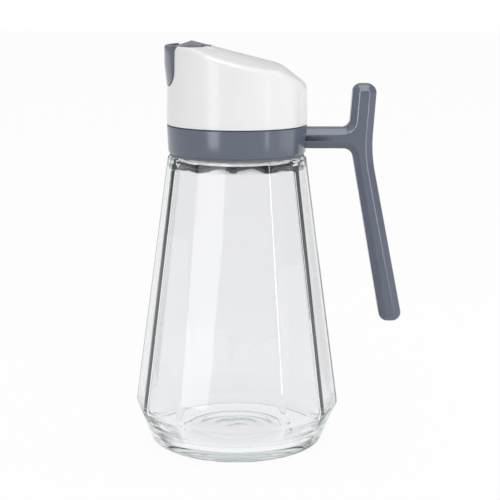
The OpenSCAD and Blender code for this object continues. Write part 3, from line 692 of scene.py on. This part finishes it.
# %% Handle mesh
def build_handle():
    outline = handle_outline()
    area = sum(outline[i - 1][0] * outline[i][1] - outline[i][0] * outline[i - 1][1]
               for i in range(len(outline)))
    sign = 1.0 if area > 0 else -1.0
    half, side, b = HANDLE_DEPTH / 2.0, SIDE_DEPTH / 2.0, HANDLE_BEVEL
    front = [(b + 0.8, -half)] + fillet((b + 0.8, -half), (b, -half), (0.0, -side), 1.5, 6)
    turn = fillet((b, -half), (0.0, -side), (0.0, 0.0), 1.1, 5)
    section = front + turn
    section += [(inset, -depth) for inset, depth in reversed(section)]
    rings = []
    for inset, depth in section:
        ring = []
        for i, (x, z) in enumerate(outline):
            n = inward(outline, i) * sign
            if x < ARM_ROOT_X + 2.1:
                n = Vector((0.0, 1.0 if z < (ARM_LOW_Z + ARM_HIGH_Z) / 2.0 else -1.0))
            ring.append((x + n.x * inset, depth, z + n.y * inset))
        rings.append(ring)
    return stitch("handle_bar", rings, sharp=60.0)


handle = settle(build_handle(), GREY_BLUE, "bottle", "grey_plastic", "handle")

# %% [markdown]
# ## The head
# The head is a cup turned upside down whose roof slopes to the handle and has a second, steeper plane
# behind a soft crease. Its edges are rounded by about two millimetres, and that rounding carries the
# bright line which the eye reads as the roof's edge. So the skin is built section by section: up the
# wall, round the edge by an exact arc, and over the roof to the middle.

# %% Head sizes
head_low, head_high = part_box("head_shell")
HEAD_Z = head_low.z / MM
HEAD_R = 35.05
HEAD_DRAFT = math.tan(math.radians(0.9))
HEAD_WALL = 2.2
EDGE_ROUND = 2.0
EDGE_LESS_AT_MOUTH = 1.3
ROOF_T = 2.0
ROOF_Z = 198.0
ROOF_SLOPE = 14.1
REAR_SLOPE = 37.6
CREASE_X = 21.8
CROWN_R = 155.0
MOUTH_RIM_Z = 201.5
HINGE_X = -14.6
HINGE_Z = 200.15
NOTCH_HALF = 17.0
NOTCH_ROUND = 3.4
TONGUE_HALF = 16.6
TONGUE_Z = 182.4
TONGUE_CORNER = 7.0
TONGUE_GAP = NOTCH_HALF - TONGUE_HALF
RECESS_DEPTH = 0.85
MOUTH_REAR_X = -13.1
MOUTH_REAR_R = 35.7
BRIDGE_Z = 199.4
LIP_Z = 196.35
LIP_HALF = 8.85
BARREL_POCKET_R = 1.95
BARREL_POCKET_HALF = 9.35
LUG_OUT = 13.15
ABOVE_ALL = 215.0
print("head", round(MOUTH_RIM_Z - HEAD_Z, 1), "mm high at the mouth's rim")


def crown(y):
    return CROWN_R - math.sqrt(CROWN_R ** 2 - y * y)


def plane_height(x, y, at_x, at_z, slope):
    a = math.radians(slope)
    return at_z - (x - at_x) * math.tan(a) - crown(y) / math.cos(a)


def soft_min(a, b, k):
    if k <= 0:
        return min(a, b)
    h = max(k - abs(a - b), 0.0) / k
    return min(a, b) - h * h * k * 0.25


def roof_height(x, y):
    main = plane_height(x, y, 0.0, ROOF_Z, ROOF_SLOPE)
    crease_z = ROOF_Z - CREASE_X * math.tan(math.radians(ROOF_SLOPE))
    rear = plane_height(x, y, CREASE_X, crease_z, REAR_SLOPE)
    return soft_min(soft_min(main, rear, 1.2), MOUTH_RIM_Z, 0.5)


def head_radius(z):
    return HEAD_R - (z - HEAD_Z) * HEAD_DRAFT


# %% Head skin
def head_section(direction, wall_inset, roof_inset, edge_round, foot):
    """Points (radius, height) of the cup's section in one direction, from the foot to the middle."""
    c, s = math.cos(direction), math.sin(direction)

    def top(r):
        return roof_height(r * c, r * s) - roof_inset

    def side(z):
        return head_radius(z) - wall_inset

    r = side(HEAD_Z)
    tilt = math.atan(abs(top(r) - top(r - 1.0)))
    points = []
    steps = 9
    arc_points = []
    for i in range(steps):
        a = math.pi / 2.0 * i / (steps - 1)
        d1 = edge_round * (math.cos(a) - 1.0)
        d2 = edge_round * (math.sin(a) - 1.0)
        z = top(r)
        for _ in range(12):
            radius = side(z) + d1
            z = top(radius) + d2 / math.cos(tilt)
        arc_points.append((radius, z))
    start_z = arc_points[0][1]
    points += foot
    for i in range(1, 10):
        z = foot[-1][1] + (start_z - foot[-1][1]) * i / 10
        points.append((side(z), z))
    points += arc_points
    end_r = arc_points[-1][0]
    for i in range(1, 20):
        radius = end_r * (1.0 - i / 20)
        points.append((radius, top(radius)))
    points.append((0.02, top(0.0)))
    return points


def build_head_blank():
    columns = []
    steps = 240
    for i in range(steps):
        a = 2.0 * math.pi * i / steps
        edge = EDGE_ROUND - EDGE_LESS_AT_MOUTH * clamp((-0.55 - math.cos(a)) / 0.3)
        outer_foot = fillet((HEAD_R - 1.0, HEAD_Z), (HEAD_R, HEAD_Z), (HEAD_R, HEAD_Z + 2.0), 0.35, 4)
        outer = head_section(a, 0.0, 0.0, edge, outer_foot)
        inner = head_section(a, HEAD_WALL, ROOF_T, 1.0, [(HEAD_R - HEAD_WALL, HEAD_Z)])
        columns.append((a, list(reversed(inner)) + outer))
    count = len(columns[0][1])
    rings = []
    for j in range(count):
        level = [(a, *column[j]) for a, column in columns]
        rings.append([(r * math.cos(a), r * math.sin(a), z) for a, r, z in level])
    return stitch("head_cover", rings, sharp=35.0)


# %% [markdown]
# The mouth, the recess for the tongue and the notches are cut out of that skin with Boolean modifiers.
# Cutting is simpler than weaving the opening into the grid, and the flap hides the cut edges. The
# recess keeps an even gap to the tongue, also round its lower corners.


# %% Cutters
def prism(name, plan, low, high):
    """A vertical solid over a plan of (x, y) points."""
    return stitch(name, [[(x, y, low) for x, y in plan], [(x, y, high) for x, y in plan]])


def lens_plan(front_r, rear_r, steps=40):
    """The lens between the head's wall and the flap's rear arc."""
    centre = MOUTH_REAR_X - MOUTH_REAR_R
    tip_x = (rear_r ** 2 - front_r ** 2 - centre ** 2) / (-2.0 * centre)
    tip_y = math.sqrt(front_r ** 2 - tip_x ** 2)
    a = math.degrees(math.atan2(tip_y, tip_x))
    b = math.degrees(math.atan2(tip_y, tip_x - centre))
    front = arc((0.0, 0.0), front_r, a, 360.0 - a, steps)
    rear = arc((centre, 0.0), rear_r, -b, b, steps)
    return front[:-1] + rear[:-1]


def box_cutter(name, low, high):
    plan = [(low[0], low[1]), (high[0], low[1]), (high[0], high[1]), (low[0], high[1])]
    return prism(name, plan, low[2], high[2])


def recess_cutter():
    """The space for the tongue, with lower corners like the tongue's and round upper edges."""
    floor = head_radius(MOUTH_RIM_Z) - RECESS_DEPTH
    top = roof_height(-29.0, NOTCH_HALF)
    corner = TONGUE_CORNER + TONGUE_GAP
    levels = []
    for t in range(9):
        c, s = math.cos(math.pi * t / 16.0), math.sin(math.pi * t / 16.0)
        levels.append((TONGUE_Z + TONGUE_CORNER - corner * c, TONGUE_HALF - TONGUE_CORNER + corner * s))
    for t in range(7):
        c, s = math.cos(math.pi * t / 12.0), math.sin(math.pi * t / 12.0)
        levels.append((top - NOTCH_ROUND * (1.0 - s), NOTCH_HALF + NOTCH_ROUND * (1.0 - c)))
    levels.append((ABOVE_ALL, NOTCH_HALF + NOTCH_ROUND))
    rings = []
    for z, half in levels:
        a = math.degrees(math.asin(half / floor))
        plan = arc((0.0, 0.0), floor, 180.0 - a, 180.0 + a, 24) + [(-50.0, -half), (-50.0, half)]
        rings.append([(x, y, z) for x, y in plan])
    return stitch("cut_recess", rings)


def bar(name, x, z, radius, y0, y1, steps=48):
    """A round bar across the head."""
    rings = []
    for y in (y0, y1):
        rings.append([(x + radius * math.cos(2.0 * math.pi * i / steps), y,
                       z + radius * math.sin(2.0 * math.pi * i / steps)) for i in range(steps)])
    return stitch(name, rings)


def cut(obj, cutters):
    """Takes the cutters out of an object, applies the result and throws the cutters away."""
    for cutter in cutters:
        modifier = obj.modifiers.new("cut", "BOOLEAN")
        modifier.operation = "DIFFERENCE"
        modifier.solver = "EXACT"
        modifier.object = cutter
    bpy.context.view_layer.update()
    result = obj.evaluated_get(bpy.context.evaluated_depsgraph_get())
    mesh = bpy.data.meshes.new_from_object(result)
    obj.modifiers.clear()
    obj.data = mesh
    for cutter in cutters:
        bpy.data.objects.remove(cutter)
    return obj


# %% Head
def build_head():
    head = build_head_blank()
    cutters = [
        prism("cut_mouth", lens_plan(HEAD_R - HEAD_WALL, MOUTH_REAR_R), MOUTH_RIM_Z - 8.0, ABOVE_ALL),
        recess_cutter(),
        box_cutter("cut_bridge", (-60.0, -NOTCH_HALF, BRIDGE_Z), (-25.0, NOTCH_HALF, ABOVE_ALL)),
        box_cutter("cut_lip", (-60.0, -LIP_HALF, LIP_Z), (-25.0, LIP_HALF, ABOVE_ALL)),
        bar("cut_barrel", HINGE_X, HINGE_Z, BARREL_POCKET_R, -BARREL_POCKET_HALF, BARREL_POCKET_HALF),
    ]
    cut(head, cutters)
    mark_sharp(head.data, 30.0)
    return head


head = settle(build_head(), WHITE, "head", "white_plastic", "head_shell")

# %% [markdown]
# The lugs that hold the hinge pin sit inside the mouth. They are small blocks with a round end, so
# their side view is drawn once and given its width on either side.


# %% Hinge lugs
def build_lugs():
    lugs = []
    for side in (-1, 1):
        low, high = sorted((side * BARREL_POCKET_HALF, side * LUG_OUT))
        outline = rounded_outline([
            (-16.4, 198.4, 1.2), (-10.6, 198.4, 0.3), (-10.6, 200.2, 0.2), (-13.6, 201.35, 0.2),
            (-16.4, 201.4, 0.5)], 5)
        rings = [[(x, y, z) for x, z in outline] for y in (low, high)]
        lugs.append(stitch("hinge_lug_" + ("right" if side > 0 else "left"), rings))
    return lugs


for lug in build_lugs():
    settle(lug, WHITE, "head", "white_plastic")

# %% [markdown]
# ## Rounded copies of construction parts
# Small mouldings from the construction model are right in shape, but their edges are knife sharp. A
# copy of the mesh is cleaned up, its edges are bevelled by a few tenths of a millimetre, and it then
# stands for the original. The flap's upper front edge is what a finger meets first, so it is rounder.

# %% Rounded copies
FRONT_EDGE_R = 34.9
FRONT_EDGE_Z = 198.5


def softened(node, name, width, segments=3, angle=32.0, front_width=0.0):
    """A copy with round edges. front_width is for the edges at the top of the front wall alone."""
    source = NODES[node]
    mesh = source.data.copy()
    bm = bmesh.new()
    bm.from_mesh(mesh)
    bmesh.ops.remove_doubles(bm, verts=bm.verts, dist=0.004 * MM)
    bmesh.ops.dissolve_limit(bm, angle_limit=math.radians(0.4), verts=bm.verts, edges=bm.edges)

    def round_off(offset, steps, where):
        edges = [e for e in bm.edges
                 if len(e.link_faces) == 2 and e.calc_face_angle(0.0) > math.radians(angle)
                 and all(where(v.co) for v in e.verts)]
        bmesh.ops.bevel(bm, geom=edges, offset=offset * MM, segments=steps, profile=0.5,
                        affect="EDGES", clamp_overlap=True)
        print(name, "has", len(edges), "edges rounded by", offset, "mm")

    if front_width > 0.0:
        round_off(front_width, 6, lambda p: p.xy.length > FRONT_EDGE_R * MM and p.z > FRONT_EDGE_Z * MM)
    round_off(width, segments, lambda p: True)
    bm.to_mesh(mesh)
    bm.free()
    obj = bpy.data.objects.new(name, mesh)
    bpy.context.scene.collection.objects.link(obj)
    mark_sharp(obj.data, 50.0)
    return obj


flap_cover = softened("flap_lid", "flap_cover", 0.4, front_width=1.3)
flap = settle(flap_cover, GREY_BLUE, "flap", "grey_plastic", "flap_lid")

# %% [markdown]
# ## Finishes of the hidden parts
# The rest keeps its construction mesh. Each part only gets its finish.

# %% Finishes
FINISH = {
    "neck_gasket": GREY_SILICONE,
    "lock_ring": WHITE,
    "handle_screws": STEEL,
    "inner_lid": WHITE,
    "pour_spout": WHITE,
    "spout_gasket": CLEAR_SILICONE,
    "plug_seal": CLEAR_SILICONE,
    "vent_valve": CLEAR_SILICONE,
    "hinge_pin": STEEL,
    "flap_pad": CLEAR_SILICONE,
    "weight_arm_left": WHITE,
    "weight_arm_right": WHITE,
    "flap_weight_left": STEEL,
    "flap_weight_right": STEEL,
    "weight_cap_left": GREY_BLUE,
    "weight_cap_right": GREY_BLUE,
    "arm_screws": STEEL,
}
for name, material in FINISH.items():
    dress(NODES[name], material)
print(len(FINISH), "construction parts keep their mesh")

REPLACED = {
    "carafe": GLASS,
    "collar_ring": GREY_BLUE,
    "handle": GREY_BLUE,
    "head_shell": WHITE,
    "flap_lid": GREY_BLUE,
}
for name, material in REPLACED.items():
    dress(NODES[name], material)
print(len(REPLACED), "have a new piece in front of them, and get its finish all the same")

# %% [markdown]
# ## Studio
# Glossy things need something to mirror. A wide strip light on the left and a narrow one on the right
# make the two vertical bands on the collar and the head. The glass and the handle stand at other
# angles, so each has a pair of strips of its own, linked to it alone, as a flag in front of a lamp
# would do. Two soft lights that don't show in mirrors carry the level. The background is white only
# for the rays that look at it, so it adds nothing to the light on the object.


# %% Floor
PURE_WHITE = (1.0, 1.0, 1.0, 1.0)
FLOOR_HALF = 6.0


def make_floor():
    mesh = bpy.data.meshes.new("floor")
    corners = [(x * FLOOR_HALF, y * FLOOR_HALF, 0.0) for x, y in ((-1, -1), (1, -1), (1, 1), (-1, 1))]
    mesh.from_pydata(corners, [], [(0, 1, 2, 3)])
    floor = bpy.data.objects.new("floor", mesh)
    bpy.context.scene.collection.objects.link(floor)
    material, tree, output = new_material("studio_floor")
    matte = add_node(tree, "ShaderNodeBsdfDiffuse", {"Color": (0.93, 0.93, 0.93, 1.0)})
    white = add_node(tree, "ShaderNodeEmission", {"Color": PURE_WHITE, "Strength": 1.01})
    path = add_node(tree, "ShaderNodeLightPath")
    seen = add_node(tree, "ShaderNodeMath", {
        0: path.outputs["Is Camera Ray"], 1: path.outputs["Is Transmission Ray"]}, operation="MAXIMUM")
    seen_too = add_node(tree, "ShaderNodeMath", {
        0: seen.outputs[0], 1: path.outputs["Is Glossy Ray"]}, operation="MAXIMUM")
    share = add_node(tree, "ShaderNodeMath", {0: seen_too.outputs[0], 1: 0.9}, operation="MULTIPLY")
    mix = add_node(tree, "ShaderNodeMixShader", {
        0: share.outputs[0], 1: matte.outputs["BSDF"], 2: white.outputs["Emission"]})
    tree.links.new(mix.outputs["Shader"], output.inputs["Surface"])
    mesh.materials.append(material)
    return floor


floor = make_floor()
print("floor", 2.0 * FLOOR_HALF, "m wide")


# %% World
def make_world():
    world = bpy.data.worlds.new("studio")
    bpy.context.scene.world = world
    world.use_nodes = True
    tree = world.node_tree
    tree.nodes.clear()
    output = add_node(tree, "ShaderNodeOutputWorld")
    path = add_node(tree, "ShaderNodeLightPath")
    ambient = add_node(tree, "ShaderNodeBackground", {"Color": PURE_WHITE, "Strength": 0.71})
    mirrored = add_node(tree, "ShaderNodeBackground", {
        "Color": (0.97, 0.98, 1.0, 1.0), "Strength": 0.4})
    white = add_node(tree, "ShaderNodeBackground", {"Color": PURE_WHITE, "Strength": 1.0})
    place = add_node(tree, "ShaderNodeTexCoord")
    height = add_node(tree, "ShaderNodeSeparateXYZ", {"Vector": place.outputs["Generated"]})
    overhead = add_node(tree, "ShaderNodeMapRange", {
        "Value": height.outputs["Z"], "From Min": 0.35, "From Max": 0.8, "To Min": 1.0, "To Max": 0.25},
        interpolation_type="SMOOTHSTEP")
    behind_glass = add_node(tree, "ShaderNodeBackground", {
        "Color": PURE_WHITE, "Strength": overhead.outputs["Result"]})
    for_gloss = add_node(tree, "ShaderNodeMixShader", {
        0: path.outputs["Is Glossy Ray"], 1: ambient.outputs[0], 2: mirrored.outputs[0]})
    through = add_node(tree, "ShaderNodeMixShader", {
        0: path.outputs["Is Transmission Ray"], 1: for_gloss.outputs[0], 2: behind_glass.outputs[0]})
    backdrop = add_node(tree, "ShaderNodeMixShader", {
        0: path.outputs["Is Camera Ray"], 1: through.outputs[0], 2: white.outputs[0]})
    tree.links.new(backdrop.outputs[0], output.inputs["Surface"])


make_world()
print("world has", len(bpy.context.scene.world.node_tree.nodes), "nodes")


# %% Lamps
LAMP_FOOT = 0.003


def strip_light(name, azimuth, distance, width, height, power):
    """An upright lamp that only glossy surfaces see. Azimuth 0 is at the camera, in degrees."""
    data = bpy.data.lights.new(name, "AREA")
    data.shape = "RECTANGLE"
    data.size = width
    data.size_y = height
    data.energy = power
    lamp = bpy.data.objects.new(name, data)
    a = math.radians(azimuth)
    lamp.location = (distance * math.sin(a), -distance * math.cos(a), LAMP_FOOT + height / 2.0)
    lamp.rotation_euler = (math.radians(90.0), 0.0, a)
    lamp.visible_glossy = True
    lamp.visible_diffuse = False
    lamp.visible_transmission = False
    lamp.visible_camera = False
    bpy.context.scene.collection.objects.link(lamp)
    return lamp


def soft_light(name, place, target, size, power):
    """A large square lamp that only lights, and doesn't show in mirrors."""
    data = bpy.data.lights.new(name, "AREA")
    data.shape = "SQUARE"
    data.size = size
    data.energy = power
    lamp = bpy.data.objects.new(name, data)
    lamp.location = place
    lamp.rotation_euler = (Vector(target) - Vector(place)).to_track_quat("-Z", "Y").to_euler()
    lamp.visible_glossy = False
    lamp.visible_transmission = False
    lamp.visible_camera = False
    bpy.context.scene.collection.objects.link(lamp)
    return lamp


def only_for(lamp, objects):
    """Limits a lamp to some objects, as a flag in the studio would."""
    chosen = bpy.data.collections.new(lamp.name + "_for")
    for obj in objects:
        chosen.objects.link(obj)
    lamp.light_linking.receiver_collection = chosen


# %% [markdown]
# The strips stand in one table, so that they can be compared. A strip's azimuth says where its band
# shows, its width says how wide the band is, and its power divided by its area how bright.

# %% Strips and soft lights
plastics = [collar, head, flap]
# Name, azimuth in degrees, distance, width and height in metres, watts, and what it lights
STRIPS = (
    ("strip_left", -36.9, 0.62, 0.192, 1.0, 2.4, plastics),
    ("strip_right", 49.4, 0.62, 0.054, 1.0, 0.68, plastics),
    ("fill_right", 88.0, 0.62, 0.33, 1.0, 0.9, plastics),
    ("glass_strip_left", -41.9, 0.40, 0.111, 0.8, 0.72, [carafe]),
    ("glass_strip_right", 49.4, 0.62, 0.08, 1.0, 2.2, [carafe]),
    ("handle_strip_left", -36.0, 0.62, 0.36, 1.0, 9.0, [handle]),
    ("handle_strip_right", 40.0, 0.62, 0.28, 1.0, 5.0, [handle]),
)
for name, azimuth, distance, width, height, power, lit in STRIPS:
    only_for(strip_light(name, azimuth, distance, width, height, power), lit)
for name, power, lit in (("head_line", 14.0, [head]), ("handle_line", 6.0, [handle])):
    line = soft_light(name, (0.0, -0.45, 1.05), (0.0, 0.0, 0.2), 0.7, power)
    line.visible_glossy = True
    line.visible_diffuse = False
    only_for(line, lit)
soft_light("soft_side", (1.25, -0.1, 0.32), (0.0, 0.0, 0.15), 0.6, 1.7)
soft_light("soft_front", (0.15, -0.95, 1.35), (0.0, 0.0, 0.12), 1.0, 6.6)
print("lamps:", len(bpy.data.lights))

# %% [markdown]
# ## Picture
# The view transform is Standard, so a colour in the picture is the colour that was set.

# %% Picture settings
scene = bpy.context.scene
scene.view_settings.view_transform = "Standard"
